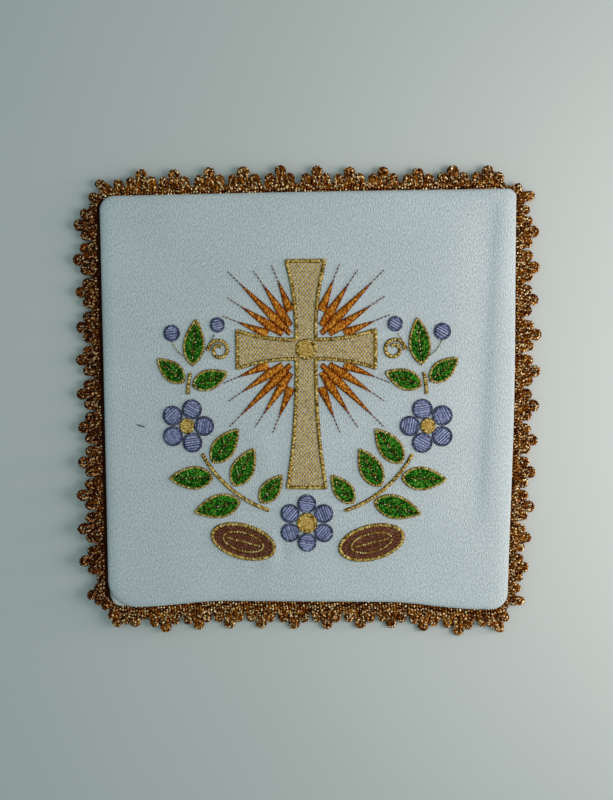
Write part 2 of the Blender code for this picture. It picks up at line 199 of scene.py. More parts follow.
def makeCordTree():  # plies twisted round each line of the source
    board = geometryBoard("twistedCord", "plies sides seed", "pitch spread half step")
    given = board.inputs
    line = sourceCurves(board, "Length", given["step"])
    line = board.add("GeometryNodeSetCurveNormal", {"mode": "Z_UP"}, {"Curve": line})
    sockets = {"Geometry": line, "Amount": given["plies"]}
    plies = board.add("GeometryNodeDuplicateElements", {"domain": "SPLINE"}, sockets)
    number = board.another(plies, "Duplicate Index")
    plies = storeShade(board, plies)
    reach = board.add("GeometryNodeSplineParameter", output="Length")
    turn = (reach / given["pitch"] + number / given["plies"]) * math.tau
    normal = board.add("GeometryNodeInputNormal")
    tangent = board.add("GeometryNodeInputTangent")
    upwards = board.vector("CROSS_PRODUCT", tangent, normal)
    beside = board.vector("SCALE", normal, scale=board.maths("COSINE", turn) * given["spread"])
    raised = board.vector("SCALE", upwards, scale=board.maths("SINE", turn) * given["spread"])
    sockets = {"Geometry": plies, "Offset": board.vector("ADD", beside, raised)}
    return closeThreads(board, board.add("GeometryNodeSetPosition", {}, sockets))


def makeStitchTree():  # one thread over each line of the source, lifted between its ends
    board = geometryBoard("layStitches", "points sides seed", "arch half fade")
    given = board.inputs
    line = sourceCurves(board, "Count", given["points"])
    share = board.add("GeometryNodeSplineParameter", output="Factor")
    fromMiddle = share * 2.0 - 1.0
    squared = fromMiddle * fromMiddle
    lift = (1.0 - squared * squared) * given["arch"]
    offset = board.add("ShaderNodeCombineXYZ", {}, {"Z": lift})
    line = board.add("GeometryNodeSetPosition", {}, {"Geometry": line, "Offset": offset})
    return closeThreads(board, storeEnding(board, storeShade(board, line)))


def makeBorderTree():  # short stitches side by side across each line of the source
    board = geometryBoard("crossBorder", "sides seed", "width height pitch slant half fade uneven")
    given = board.inputs
    line = sourceCurves(board, "Length", given["pitch"])
    line = board.add("GeometryNodeSetCurveNormal", {"mode": "Z_UP"}, {"Curve": line})
    ends = [{"X": given["width"] * side, "Y": given["slant"] * side} for side in (-0.5, 0.5)]
    sockets = {
        "Resolution": 4,
        "Start": board.add("ShaderNodeCombineXYZ", {}, ends[0]),
        "Middle": board.add("ShaderNodeCombineXYZ", {}, {"Z": given["height"] * 2.0}),
        "End": board.add("ShaderNodeCombineXYZ", {}, ends[1]),
    }
    stitch = board.add("GeometryNodeCurveQuadraticBezier", {}, sockets)
    normal = board.add("GeometryNodeInputNormal")
    aligned = {"axis": "X", "pivot_axis": "Z"}
    facing = board.add("FunctionNodeAlignRotationToVector", aligned, {"Vector": normal})
    size = randomNumber(board, 1.0 - given["uneven"], 1.0 + given["uneven"])
    wide = board.add("GeometryNodeInputNamedAttribute", {"data_type": "FLOAT"}, {"Name": "wide"})
    scale = board.add("ShaderNodeCombineXYZ", {}, {"X": size * wide, "Y": size, "Z": size})
    sockets = {"Points": line, "Instance": stitch, "Rotation": facing, "Scale": scale}
    stitches = board.add("GeometryNodeInstanceOnPoints", {}, sockets)
    stitches = board.add("GeometryNodeRealizeInstances", {}, {0: stitches})
    return closeThreads(board, storeEnding(board, storeShade(board, stitches)))


trees = {"cord": makeCordTree(), "stitch": makeStitchTree(), "border": makeBorderTree()}
print("node trees ready")


# Pieces

def nodeMiddle(node):
    low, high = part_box(node)
    return (low + high) / 2 / mm


blossomRows = (
    # x, y, petals, petal ring, petal radius, turn
    (0.0, -46.5, 6, 7.6, 4.2, 0.0),
    (46.5, -8.5, 5, 6.8, 4.3, 18.0),
    (-46.5, -8.5, 5, 6.8, 4.3, -18.0),
)
# The pods mirror each other about the plan's x = 0, and the lowest blossom is even about its own y
planX = (nodeMiddle("pod_left").x + nodeMiddle("pod_right").x) / 2
planY = nodeMiddle("blossom_1").y - blossomRows[0][1]
toFrame = Matrix.Translation((planX * mm, planY * mm, 0.0)) @ Matrix.Scale(mm, 4)


def newObject(name, data):
    obj = bpy.data.objects.new(name, data)
    bpy.context.scene.collection.objects.link(obj)
    return obj


def chainMesh(name, chains, rings=(), wide=None):  # rows of points as edges, and rings as closed rows
    points = []
    edges = []
    for closed, rows in ((False, chains), (True, rings)):
        for row in rows:
            first = len(points)
            points += [tuple(point) for point in row]
            edges += [(i, i + 1) for i in range(first, len(points) - 1)]
            if closed:
                edges.append((len(points) - 1, first))
    mesh = bpy.data.meshes.new(name)
    mesh.from_pydata(points, edges, [])
    widths = mesh.attributes.new("wide", "FLOAT", "POINT")
    widths.data.foreach_set("value", wide or [1.0] * len(points))
    return mesh


def skinRings(bm, rings):  # faces from each ring of vertices to the next
    for lower, upper in zip(rings, rings[1:]):
        for i in range(len(lower)):
            j = (i + 1) % len(lower)
            bm.faces.new((lower[i], lower[j], upper[j], upper[i]))


def closeMesh(bm, name):
    mesh = bpy.data.meshes.new(name)
    bm.to_mesh(mesh)
    bm.free()
    return mesh


def growPiece(name, source, tree, **values):  # the mesh that a tree makes from the source's lines
    obj = newObject(name, source)
    modifier = obj.modifiers.new("grow", "NODES")
    modifier.node_group = trees[tree]
    for item in trees[tree].interface.items_tree:
        if item.in_out == "INPUT" and item.name in values:
            modifier[item.identifier] = values[item.name]
    graph = bpy.context.evaluated_depsgraph_get()
    mesh = bpy.data.meshes.new_from_object(obj.evaluated_get(graph))
    obj.modifiers.remove(modifier)
    obj.data = mesh
    mesh.name = name
    return obj


def finishPiece(obj, slot, nodes):
    obj.data.transform(toFrame)
    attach(obj, "root")
    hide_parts(*nodes)
    print(f"{obj.name}: {sum(len(face.vertices) - 2 for face in obj.data.polygons)} triangles")
    return obj


# Plan of the stiffened square, clockwise from the upper left

square = {
    "corners": (
        # x, y, rounding of the back, rounding of the front
        (-79.4, 80.3, 5.5, 5.5),
        (79.3, 80.7, 3.4, 3.4),
        (77.9, -80.6, 6.4, 6.4),
        (-79.7, -81.4, 5.0, 10.5),
    ),
    # how far each side is drawn in, and the shares of its length where that starts and is full
    "sides": ((-0.2, 0.0, 0.5), (-0.9, 0.0, 0.5), (2.7, 0.07, 0.3), (0.1, 0.0, 0.5)),
    "bowFade": 45.0,
    "roundingLoss": 0.35,
    "leastRounding": 1.6,
}


def drawnIn(point, corner, after, side):
    ahead = after - corner
    share = min(max((point - corner).dot(ahead) / ahead.length_squared, 0.0), 1.0)
    bow, first, full = square["sides"][side]
    inwards = Vector((ahead.y, -ahead.x)).normalized()
    ramp = min(max((min(share, 1 - share) - first) / (full - first), 0.0), 1.0)
    return bow * ramp * ramp * (3 - 2 * ramp) * inwards


def outline(inset, panel, cornerSteps, sideSteps):
    corners = [
        Vector((x - inset * math.copysign(1, x), y - inset * math.copysign(1, y)))
        for x, y, *_ in square["corners"]
    ]
    rounding = [
        max(row[2 + panel] - square["roundingLoss"] * inset, square["leastRounding"])
        for row in square["corners"]
    ]
    fade = max(0.0, 1 - inset / square["bowFade"])
    points = []
    for i, corner in enumerate(corners):
        before = corners[i - 1]
        after = corners[(i + 1) % 4]
        back = (before - corner).normalized()
        ahead = (after - corner).normalized()
        centre = corner + rounding[i] * (back + ahead)
        for step in range(cornerSteps + 1):
            turn = math.radians(90 * step / cornerSteps)
            point = centre - rounding[i] * (math.cos(turn) * ahead + math.sin(turn) * back)
            drawn = drawnIn(point, before, corner, i - 1) + drawnIn(point, corner, after, i)
            points.append(point + fade * drawn)
        start = corner + rounding[i] * ahead
        end = after - rounding[(i + 1) % 4] * ahead
        for step in range(1, sideSteps):
            point = start.lerp(end, step / sideSteps)
            points.append(point + fade * drawnIn(point, corner, after, i))
    return points


def smoothRow(points, steps, closed=False):  # a smooth line through a row of points
    count = len(points)
    line = []
    for i in range(count if closed else count - 1):
        if closed:
            before, start, end, after = (points[(i + k) % count] for k in (-1, 0, 1, 2))
        else:
            before, start = points[max(i - 1, 0)], points[i]
            end, after = points[i + 1], points[min(i + 2, count - 1)]
        for step in range(steps):
            t = step / steps
            bend = (2 * before - 5 * start + 4 * end - after) * t * t
            twist = (3 * start - before - 3 * end + after) * t * t * t
            line.append((2 * start + (end - before) * t + bend + twist) / 2)
    if not closed:
        line.append(points[-1].copy())
    return line


# Front and back cloth

cloth = {
    "frontRim": ((5.2, 2.0), (3.2, 1.94), (1.6, 1.9), (0.5, 2.2), (0.0, 2.85), (0.35, 3.6),
                 (1.35, 4.22), (3.3, 4.56)),  # inset and height, from the hem up
    "backRim": ((3.6, 1.58), (1.6, 1.6), (0.55, 1.35), (0.15, 0.9), (0.7, 0.22), (1.8, 0.0)),
    "rimSteps": 3,
    "frontSteps": (1.1, 10, 88),  # between rows of the face, then points round a corner and along a side
    "backSteps": (6.0, 8, 30),
    "innermost": 78.2,
    "thickness": 0.4,
    "halfSide": 80.0,
    "faceHeight": 4.6,
    "faceCrown": 0.3,
    "cornerBulge": (-75.3, -79.6, 4.2, 1.5),  # the back shows at this corner: x, y, reach, height
    "troughTop": (69.3, 66.0),
    "troughFoot": (65.5, -31.0),
    "troughWidth": (8.0, 3.3),  # towards the middle and towards the right edge
    "troughDepth": 0.8,
    "troughEnd": 12.0,
    "edgeDrop": (70.5, 9.0, 0.85),  # the face falls to the right edge: from x, over, how far
}
creases = (
    # start x, y, end x, y, half width, depth (a ridge where it is negative)
    (-8.5, -50.0, -9.5, -61.0, 1.8, 0.34),
    (-13.5, -51.0, -14.5, -62.0, 2.4, -0.22),
    (-19.0, -55.5, -21.0, -65.0, 2.0, 0.22),
    (-20.5, -27.0, -26.0, -13.0, 3.2, 0.26),
    (-14.0, -24.0, -17.0, -14.0, 2.6, -0.14),
    (-58.0, 20.0, -70.0, 34.0, 4.5, 0.10),
    (58.0, -36.0, 70.0, -52.0, 5.0, 0.10),
    (-30.0, -62.0, -36.0, -76.0, 4.0, 0.10),
    (20.0, 62.0, 26.0, 77.0, 5.0, 0.08),
)


def creaseDepth(x, y):
    depth = 0.0
    for startX, startY, endX, endY, width, deep in creases:
        start = Vector((startX, startY))
        along = Vector((endX, endY)) - start
        offset = Vector((x, y)) - start
        share = min(max(offset.dot(along) / along.length_squared, 0.0), 1.0)
        away = (offset - share * along).length / width
        if away < 3:
            depth += deep * math.exp(-away * away)
    return depth


def edgeFall(x):
    first, reach, drop = cloth["edgeDrop"]
    return drop * (max(x - first, 0.0) / reach) ** 2


def clothHeight(x, y):  # the face with its crown, trough and creases
    half = cloth["halfSide"]
    crown = cloth["faceCrown"] * (1 - (x / half) ** 2) * (1 - (y / half) ** 2)
    footX, footY = cloth["troughFoot"]
    topX, topY = cloth["troughTop"]
    share = (y - footY) / (topY - footY)
    trough = footX + share * (topX - footX)
    past = max(footY - y, y - topY, 0.0)
    depth = cloth["troughDepth"] * math.exp(-((past / cloth["troughEnd"]) ** 2))
    dip = depth * math.exp(-(((x - trough) / cloth["troughWidth"][x > trough]) ** 2))
    return cloth["faceHeight"] + crown - dip - edgeFall(x) - creaseDepth(x, y)


def rimChange(point, height, panel):  # the front falls to its right edge, the back swells at a corner
    if panel:
        return -edgeFall(point.x) * (height / cloth["faceHeight"]) ** 3
    x, y, reach, lift = cloth["cornerBulge"]
    away = (point - Vector((x, y))).length / reach
    return lift * math.exp(-(away ** 4)) * min(height, 1.0)


cutScale = 100.0  # millimetres of the flat cut to one unit of its map


def sheetMesh(name, panel, rim, steps, heightAt):
    step, cornerSteps, sideSteps = steps
    profile = smoothRow([Vector(point) for point in rim], cloth["rimSteps"])
    flats = [0.0]  # the same rows on the flat cut, by their length along the cloth
    for low, high in zip(profile[::-1], profile[-2::-1]):
        flats.append(flats[-1] + (high - low).length)
    flats = [profile[-1].x - length for length in flats][::-1]
    rows = []
    for (inset, height), flat in zip(profile, flats):
        points, cut = (outline(value, panel, cornerSteps, sideSteps) for value in (inset, flat))
        rows.append([
            ((p.x, p.y, height + rimChange(p, height, panel)), (q.x, q.y)) for p, q in zip(points, cut)
        ])
    inset = profile[-1].x + step
    while inset < cloth["innermost"]:
        points = outline(inset, panel, cornerSteps, sideSteps)
        rows.append([((p.x, p.y, heightAt(p.x, p.y)), (p.x, p.y)) for p in points])
        inset += step
    bm = bmesh.new()
    layer = bm.loops.layers.uv.new("cut")
    rings = [[bm.verts.new(point) for point, _ in row] for row in rows]
    places = {v: uv for ring, row in zip(rings, rows) for v, (_, uv) in zip(ring, row)}
    skinRings(bm, rings)
    last = rings[-1]
    hub = bm.verts.new(sum((v.co for v in last), Vector()) / len(last))
    places[hub] = tuple(hub.co.xy)
    for i in range(len(last)):
        bm.faces.new((last[i], last[(i + 1) % len(last)], hub))
    bmesh.ops.recalc_face_normals(bm, faces=bm.faces)
    for face in bm.faces:
        face.smooth = True
        for loop in face.loops:
            loop[layer].uv = [value / cutScale for value in places[loop.vert]]
    reach = [max(abs(uv[k]) for uv in places.values()) for k in (0, 1)]
    return closeMesh(bm, name), [2 * value * mm for value in reach]


def clothPiece(name, sheet, material, slot, node):
    mesh, flat = sheet
    mesh.materials.append(material)
    obj = newObject(name, mesh)
    wall = obj.modifiers.new("thickness", "SOLIDIFY")
    wall.thickness = cloth["thickness"] * mm
    wall.offset = -1
    finishPiece(obj, slot, [node])


clothLook = {
    "colour": (0.90, 0.92, 0.93),
    "deep": (0.48, 0.515, 0.535),  # between the threads, painted shade where the grain and weave lie low
    "backColour": (0.98, 0.96, 0.93),
    # the back's own painted shade between the threads
    "backDeep": (0.88, 0.87, 0.85),
    "grainWide": 0.52,  # crepe grain, across and along
    "grainLong": 1.0,
    "grainTurn": -14.0,
    "grainRange": (0.32, 0.68),
    "grainBump": 1.05,
    "grainDepth": 0.25,
    "threadPitch": 0.42,
    "weaveShare": 0.28,  # of the even weave in the surface, beside the grain
    "broadScale": 0.03,  # of the light and dark parts of the whole cloth
    "surfaceTone": 0.85,
    "broadTone": 0.3,
    "toneLift": -0.07,
    "roughness": 0.82,
    "roughnessRise": 0.08,
    "sheen": 0.08,
    "sheenRoughness": 0.5,
    "specular": 0.3,
}


def newMaterial(name):
    material = bpy.data.materials.new(name)
    material.use_nodes = True
    return material, Board(material.node_tree), material.node_tree.nodes["Principled BSDF"]


def makeClothMaterial(name, colour, deep):
    look = clothLook
    material, board, shader = newMaterial(name)
    flat = board.add("ShaderNodeUVMap", {"uv_map": "cut"})
    place = board.vector("SCALE", flat, scale=cutScale)
    turned = board.add("ShaderNodeMapping", {}, {
        "Vector": place,
        "Rotation": (0.0, 0.0, math.radians(look["grainTurn"])),
        "Scale": (1 / look["grainWide"], 1 / look["grainLong"], 1.0),
    })
    grain = board.stretch(board.noise(turned, 1.0, 2.0, 0.6), *look["grainRange"])
    sides = board.add("ShaderNodeSeparateXYZ", {}, {0: place})
    across = sides * (math.tau / look["threadPitch"])
    along = board.another(sides, "Y") * (math.tau / look["threadPitch"])
    warp = board.maths("SINE", across + along * 0.5)
    weave = (warp * board.maths("SINE", along)) * 0.5 + 0.5
    surface = grain * (1 - look["weaveShare"]) + weave * look["weaveShare"]
    broad = board.noise(place, look["broadScale"], 1.0)
    # the low parts of the grain and weave take the deep colour, a painted shade between the threads
    tone = surface * look["surfaceTone"] + broad * look["broadTone"] + look["toneLift"]
    bump = {"Height": surface, "Strength": look["grainBump"], "Distance": look["grainDepth"] * mm}
    board.plug(shader, {
        "Base Color": board.mix(tone, deep, colour),
        "Roughness": look["roughness"] + surface * look["roughnessRise"],
        "Normal": board.add("ShaderNodeBump", {}, bump),
        "Sheen Weight": look["sheen"],
        "Sheen Roughness": look["sheenRoughness"],
        "Specular IOR Level": look["specular"],
    })
    return material


frontSheet = sheetMesh("frontCloth", 1, cloth["frontRim"], cloth["frontSteps"], clothHeight)
frontWhite = makeClothMaterial("whiteCrepe", clothLook["colour"], clothLook["deep"])
clothPiece("frontCloth", frontSheet, frontWhite, "white_cloth", "front_panel")
backSheet = sheetMesh("backCloth", 0, cloth["backRim"], cloth["backSteps"], lambda x, y: 0.0)
backWhite = makeClothMaterial("plainWhite", clothLook["backColour"], clothLook["backDeep"])
clothPiece("backCloth", backSheet, backWhite, "back_cloth", "back_panel")


# Lace edging

lace = {
    "runs": (
        # side, first tip, last tip, scallops, reach of the middle loop
        (0, -63.2, -50.4, 2, 1.02),
        (0, -36.8, -9.8, 3, 1.1),
        (0, 4.0, 29.4, 3, 1.0),
        (0, 42.7, 68.5, 3, 0.9),
        (1, 64.6, 39.0, 3, 0.94),
        (1, 25.6, -0.6, 3, 1.07),
        (1, -13.7, -39.6, 3, 1.01),
        (1, -52.3, -64.2, 2, 0.84),
        (2, 59.3, -58.2, 10, 0.98),
        (3, -62.3, 69.6, 11, 1.02),
    ),
    "knobs": (
        # single lobes at the corners: x, y, radius, then x and y of the foot
        (-72.1, 84.9, 2.25, -71.6, 82.2),
        (-79.2, 84.9, 2.35, -76.4, 82.6),
        (-82.1, 80.0, 2.3, -79.9, 78.4),
        (79.9, 81.1, 1.9, 78.6, 79.9),
        (84.2, 77.9, 2.3, 80.6, 77.4),
        (82.8, 72.7, 2.05, 80.4, 72.6),
        (81.3, -72.3, 2.2, 79.4, -72.0),
        (82.9, -77.4, 2.1, 79.2, -77.0),
        (76.9, -84.0, 2.2, 75.9, -82.4),
        (74.9, -88.2, 2.3, 73.9, -84.9),
        (71.6, -86.3, 2.2, 71.6, -83.6),
        (68.3, -86.1, 2.2, 68.3, -83.6),
        (-69.2, -87.2, 2.6, -69.5, -83.9),
        (-72.9, -86.3, 2.3, -73.0, -83.8),
        (-76.3, -87.2, 2.5, -75.6, -84.0),
        (-78.0, -84.4, 2.2, -77.0, -83.0),
        (-80.4, -80.4, 2.4, -79.1, -79.2),
        (-83.2, -78.5, 2.1, -81.6, -77.4),
        (-85.9, -76.2, 2.4, -82.4, -75.4),
        (-83.1, -73.3, 2.2, -81.8, -73.0),
    ),
    "knobTurns": 1.5,
    "knobStart": 0.75,  # of a half turn before the way that the knob points
    "knobSteps": 12,
    "knobRise": 0.25,
    "knobRipple": 0.1,
    "knobStalk": 1.9,  # between the two cords of its stalk
    "knobClose": 0.5,
    "curl": (-93.0, -62.0, 46.0, 3.2),  # the lace curls up round here: x, y, reach, rise at the tips
    "pinches": (
        # where the heading narrows: side, place, half length, share of its width
        (0, 76.4, 2.3, 0.3),
        (1, -79.0, 3.2, 0.6),
        (3, -80.5, 3.0, 0.6),
    ),
    "headingWidth": 2.8,
    "headingShown": (0.3, 0.1, 2.4, 1.4),  # more of it shows on the top, right, bottom and left
    "lobes": (
        # along, outwards, radius, first and last angle of its cord, steps
        (-3.95, 4.5, 2.34, 206, -86, 8),
        (0.0, 6.9, 2.54, 228, -48, 10),
        (3.95, 4.5, 2.34, 266, -26, 8),
    ),
    "legs": (0.95, 3.6),  # the middle lobe's two legs stand side by side: beside and outwards
    "lobeUneven": 0.12,
    "leanUneven": 0.5,
    "cordUneven": 0.07,
    "room": 12.9,  # a scallop of full size takes this much of the rim
    "height": 1.95,
    "lobeRise": 0.1,
    "tipRise": (0.35, 0.3, -0.85, 0.75),
    "riseReach": 9.2,
    "seed": 11,
    "feet": (-5.5, -2.0, 2.0, 5.5),  # where the cord dips between its loops
    "footOut": 1.5,
    "smoothing": 3,
    "cord": {"plies": 3, "pitch": 2.2, "half": 0.42, "sides": 4, "seed": 3},
    "cordHalf": 1.22,
    "cordSteps": 7,  # in one pitch
    "headingRows": 2,
    "headingStart": (0.1, 0.1, 0.3, 1.9),  # the rows start this far from the cloth's edge on each side
    "strand": {"width": 1.0, "height": 0.25, "pitch": 1.12, "half": 0.42, "fade": 0.8, "sides": 5,
               "uneven": 0.12},
    "strandOverlap": 0.5,
    "strandSlant": (0.25, -0.35),
    "strandRise": (0.1, 0.25),
    "strandSeeds": (5, 6),
    "groundPoints": 900,
    "groundSection": ((False, -0.2), (False, 0.0), (True, 0.06), (True, -0.26)),  # at its edge, raised
    "groundInner": -0.1,
    "groundInset": 0.4,
    "webOut": 3.1,  # the ground reaches this far past the heading inside a scallop
    "webHalf": 5.5,
}


class Rim:  # the back's outline as a path that is followed by length
    cornerFine = 16
    sideFine = 32

    def __init__(self):
        self.points = outline(0.0, 0, self.cornerFine, self.sideFine)
        self.reach = [0.0]
        for i, point in enumerate(self.points):
            after = self.points[(i + 1) % len(self.points)]
            self.reach.append(self.reach[-1] + (after - point).length)
        self.length = self.reach[-1]

    def at(self, along):
        along %= self.length
        low = bisect.bisect_right(self.reach, along, 0, len(self.points)) - 1
        after = (low + 1) % len(self.points)
        share = (along - self.reach[low]) / (self.reach[low + 1] - self.reach[low])
        point = self.points[low].lerp(self.points[after], share)
        return point, self.normal(low).lerp(self.normal(after), share).normalized()

    def normal(self, index):
        ahead = self.points[(index + 1) % len(self.points)] - self.points[index - 1]
        return Vector((-ahead.y, ahead.x)).normalized()

    def station(self, side, place):
        first = side * (self.cornerFine + self.sideFine) + self.cornerFine
        start = self.points[first]
        offset = (place - start.x, start.y - place, start.x - place, place - start.y)[side]
        return self.reach[first] + offset

    def between(self, along, place):  # the shorter way round, signed
        return (along - place + self.length / 2) % self.length - self.length / 2


rim = Rim()


def curlLift(point):
    x, y, reach, height = lace["curl"]
    away = (Vector(point[:2]) - Vector((x, y))).length / reach
    return height * math.exp(-(away ** 4))


def forSide(values, normal):  # a value for the top, right, bottom and left, blended at the corners
    top, right, bottom, left = values
    upright = top * max(normal.y, 0) ** 2 + bottom * min(normal.y, 0) ** 2
    return upright + right * max(normal.x, 0) ** 2 + left * min(normal.x, 0) ** 2


def scallopRows():
    uneven = random.Random(lace["seed"])
    spread = lace["lobeUneven"]
    rows = []
    for side, first, last, count, reach in lace["runs"]:
        for i in range(count):
            place = first + (last - first) * i / max(count - 1, 1)
            size = 1 + spread * uneven.uniform(-0.5, 0.5)
            lean = lace["leanUneven"] * uneven.uniform(-1, 1)
            long = reach * (1 + spread * uneven.uniform(-0.5, 0.5))
            rows.append((rim.station(side, place) % rim.length, long, size, lean))
    rows.sort()
    fitted = []
    for i, (along, long, size, lean) in enumerate(rows):
        before = (along - rows[i - 1][0]) % rim.length
        after = (rows[(i + 1) % len(rows)][0] - along) % rim.length
        fitted.append((along, long, min(size, min(before, after) / lace["room"]), lean))
    return fitted


def tipLift(point, normal, outwards):  # how far the lace has risen at this reach from the rim
    share = outwards / lace["riseReach"]
    return forSide(lace["tipRise"], normal) * share + curlLift(point) * share * share


def headingOut(along):  # how far the heading reaches from the rim
    width = lace["headingWidth"] + forSide(lace["headingShown"], rim.at(along)[1])
    for side, place, half, share in lace["pinches"]:
        away = rim.between(along, rim.station(side, place)) / half
        width *= 1 - (1 - share) * math.exp(-(away ** 4))
    return width


def lacePoint(along, outwards, raised=0.0):
    foot, normal = rim.at(along)
    point = foot + outwards * normal
    rise = tipLift(point, normal, max(outwards, 0.0))
    return Vector((point.x, point.y, lace["height"] + rise + raised))


def scallopCord(along, long, size, lean, uneven):  # one cord that winds through three loops
    shown = forSide(lace["headingShown"], rim.at(along)[1])
    feet = [along + place * size for place in lace["feet"]]
    out = lace["footOut"] + shown
    legBeside, legOut = lace["legs"]
    wobble = lace["cordUneven"]
    route = [lacePoint(feet[0], out)]
    for lobe, foot in zip(lace["lobes"], feet[1:]):
        beside, outwards, radius, first, last, steps = lobe
        middleLobe = beside == 0
        base, normal = rim.at(along + beside * size + (lean if middleLobe else 0.0))
        across = Vector((normal.y, -normal.x))
        centre = base + (outwards * long + shown) * normal
        half = radius * size - lace["cordHalf"]
        if middleLobe:
            route.append(lacePoint(along - legBeside * size, legOut * long + shown))
        for step in range(steps + 1):
            turn = math.radians(first + (last - first) * step / steps)
            spoke = math.cos(turn) * across + math.sin(turn) * normal
            point = centre + half * (1 + uneven.uniform(-wobble, wobble)) * spoke
            rise = tipLift(point, normal, (point - base).dot(normal)) + lace["lobeRise"]
            route.append(Vector((point.x, point.y, lace["height"] + rise)))
        if middleLobe:
            route.append(lacePoint(along + legBeside * size, legOut * long + shown))
        route.append(lacePoint(foot, out))
    return smoothRow(route, lace["smoothing"])


def knobCord(x, y, radius, footX, footY):  # one cord that winds up into a single lobe, and back
    centre = Vector((x, y))
    foot = Vector((footX, footY))
    upwards = (centre - foot).normalized()
    beside = lace["knobStalk"] / 2 * Vector((-upwards.y, upwards.x))
    waist = foot.lerp(centre, 0.5)
    half = radius - lace["cordHalf"]
    first = math.atan2(upwards.y, upwards.x) - math.pi * lace["knobStart"]
    route = [foot - beside, waist - beside]
    steps = lace["knobSteps"]
    for step in range(steps + 1):
        turn = first + math.tau * lace["knobTurns"] * step / steps
        reach = half * (1 - lace["knobClose"] * math.sin(math.pi * step / steps))
        route.append(centre + reach * Vector((math.cos(turn), math.sin(turn))))
    route += [waist + beside, foot + beside]
    level = lace["height"] + lace["knobRise"]
    lift = forSide(lace["tipRise"], upwards) * (centre - foot).length / lace["riseReach"]
    lift += curlLift(centre)
    points = []
    for i, point in enumerate(route):
        raised = lift * math.sin(math.pi * i / (len(route) - 1)) + lace["knobRipple"] * (i % 2)
        points.append(Vector((point.x, point.y, level + raised)))
    return smoothRow(points, lace["smoothing"])


plainLook = {  # what every thread has unless its own look says otherwise
    "stops": (0.08, 0.5, 0.95),  # where the dark, bronze and bright tones lie
    "speck": 0.4,  # size of one glittering facet
    "streak": 1.2,  # length of the painted highlights and shade along a thread, where its wraps cross the top
    "streaky": 0.35,
    "streakRange": (0.36, 0.66),
    "streakShift": 531.7,  # sets one thread's streaks apart from the next one's
    "facets": 0.3,
    "cloud": 0.3,
    "cloudScale": 0.35,
    "each": 0.16,  # how much one thread differs from the next
    "lift": -0.12,
    "ends": 0.0,  # how much darker a thread is at its ends, painted shade where it dips into the cloth
    # painted glints: how strong they are, and which facets and streaks carry them
    "glints": 0.5,
    "glintFacets": 0.45,  # share of the facets in the glints, beside the streaks
    "glintFrom": 0.70,
    "glintFull": 0.84,
    "tilt": 0.3,
    "roughness": 0.4,
    "dullRoughness": 0.18,  # this much rougher outside the glints
    "metallic": 0.2,
    "specular": 0.3,
    # painted shade towards the left side: how dark, and how much it dims the glints
    "paintedShade": 0.0,
    "paintedShadeDull": 0.5,
}
laceLook = {
    "tones": ((0.028, 0.0034, 0.0), (0.29, 0.070, 0.001), (0.95, 0.40, 0.045)),  # dark, bronze, bright
    "glint": (1.0, 0.80, 0.46),
    "speck": 0.6,
    "streak": 0.85,
    "streaky": 0.66,
    "facets": 0.18,
    "cloud": 0.8,
    "each": 0.15,
    "lift": -0.46,
    "glints": 1.0,
    "glintFrom": 0.69,
    "glintFull": 0.77,
    "tilt": 0.6,
    "roughness": 0.24,
    "metallic": 0.35,
    "specular": 0.06,
    "paintedShade": 0.2,  # painted shade: the lace is darker towards the left side, where the cloth's rim shades it
    "paintedShadeFrom": (-77.0, -83.0),  # x where that painted shade starts and where it is full
}
# near-black tones: the ground is painted shade in the gaps of the lace
groundTones = ((0.028, 0.0034, 0.0), (0.05, 0.014, 0.002), (0.16, 0.05, 0.008))
groundLook = {**laceLook, "tones": groundTones, "glints": 0.05}


def makeMetalMaterial(name, ownLook):
    look = {**plainLook, **ownLook}
    material, board, shader = newMaterial(name)
    place = board.add("ShaderNodeTexCoord", output="Object")
    place = board.vector("SCALE", place, scale=1 / mm)
    facets = board.add("ShaderNodeTexVoronoi", {}, {"Vector": place, "Scale": 1 / look["speck"]}, 1)
    chance = board.add("ShaderNodeSeparateColor", {}, {0: facets})
    cloudy = board.noise(place, look["cloudScale"], 2.0)
    shade, ending, reach = (board.attribute(word) for word in ("shade", "ending", "reach"))
    # painted highlights along each thread, as dashes where its wraps catch the light
    along = reach / look["streak"] + shade * look["streakShift"]
    sockets = {"W": along, "Detail": 1.0, "Scale": 1.0}
    streak = board.add("ShaderNodeTexNoise", {"noise_dimensions": "1D"}, sockets)
    streak = board.stretch(streak, *look["streakRange"])
    tone = streak * look["streaky"] + board.another(chance, 1) * look["facets"]
    tone = tone + cloudy * look["cloud"] + shade * look["each"]
    # painted shade at each thread's ends, where it dips into the cloth
    tone = tone - ending * look["ends"] + look["lift"]
    # painted highlights: a bright glint colour is mixed into the base where the glints lie, and those
    # places are also smoother
    share = look["glintFacets"]
    glint = board.stretch(chance * share + streak * (1 - share), look["glintFrom"], look["glintFull"])
    glint = glint * look["glints"]
    # painted shade: darker tone and fewer glints towards the left side
    if look["paintedShade"]:
        side = board.add("ShaderNodeSeparateXYZ", {}, {0: place})
        paintedShade = board.stretch(side, *(value + planX for value in look["paintedShadeFrom"]))
        tone = tone - paintedShade * look["paintedShade"]
        glint = glint * (1.0 - paintedShade * look["paintedShadeDull"])
    ramp = board.add("ShaderNodeValToRGB", {"stops": list(zip(look["stops"], look["tones"]))}, {0: tone})
    surface = board.add("ShaderNodeNewGeometry", output="Normal")
    away = board.vector("SUBTRACT", facets, (0.5, 0.5, 0.5))
    tilted = board.vector("ADD", surface, board.vector("SCALE", away, scale=look["tilt"]))
    board.plug(shader, {
        "Base Color": board.mix(glint, ramp, look.get("glint", look["tones"][-1])),
        "Roughness": look["roughness"] + (1.0 - glint) * look["dullRoughness"],
        "Metallic": look["metallic"],
        "Specular IOR Level": look["specular"],
        "Normal": board.vector("NORMALIZE", tilted),
    })
    return material


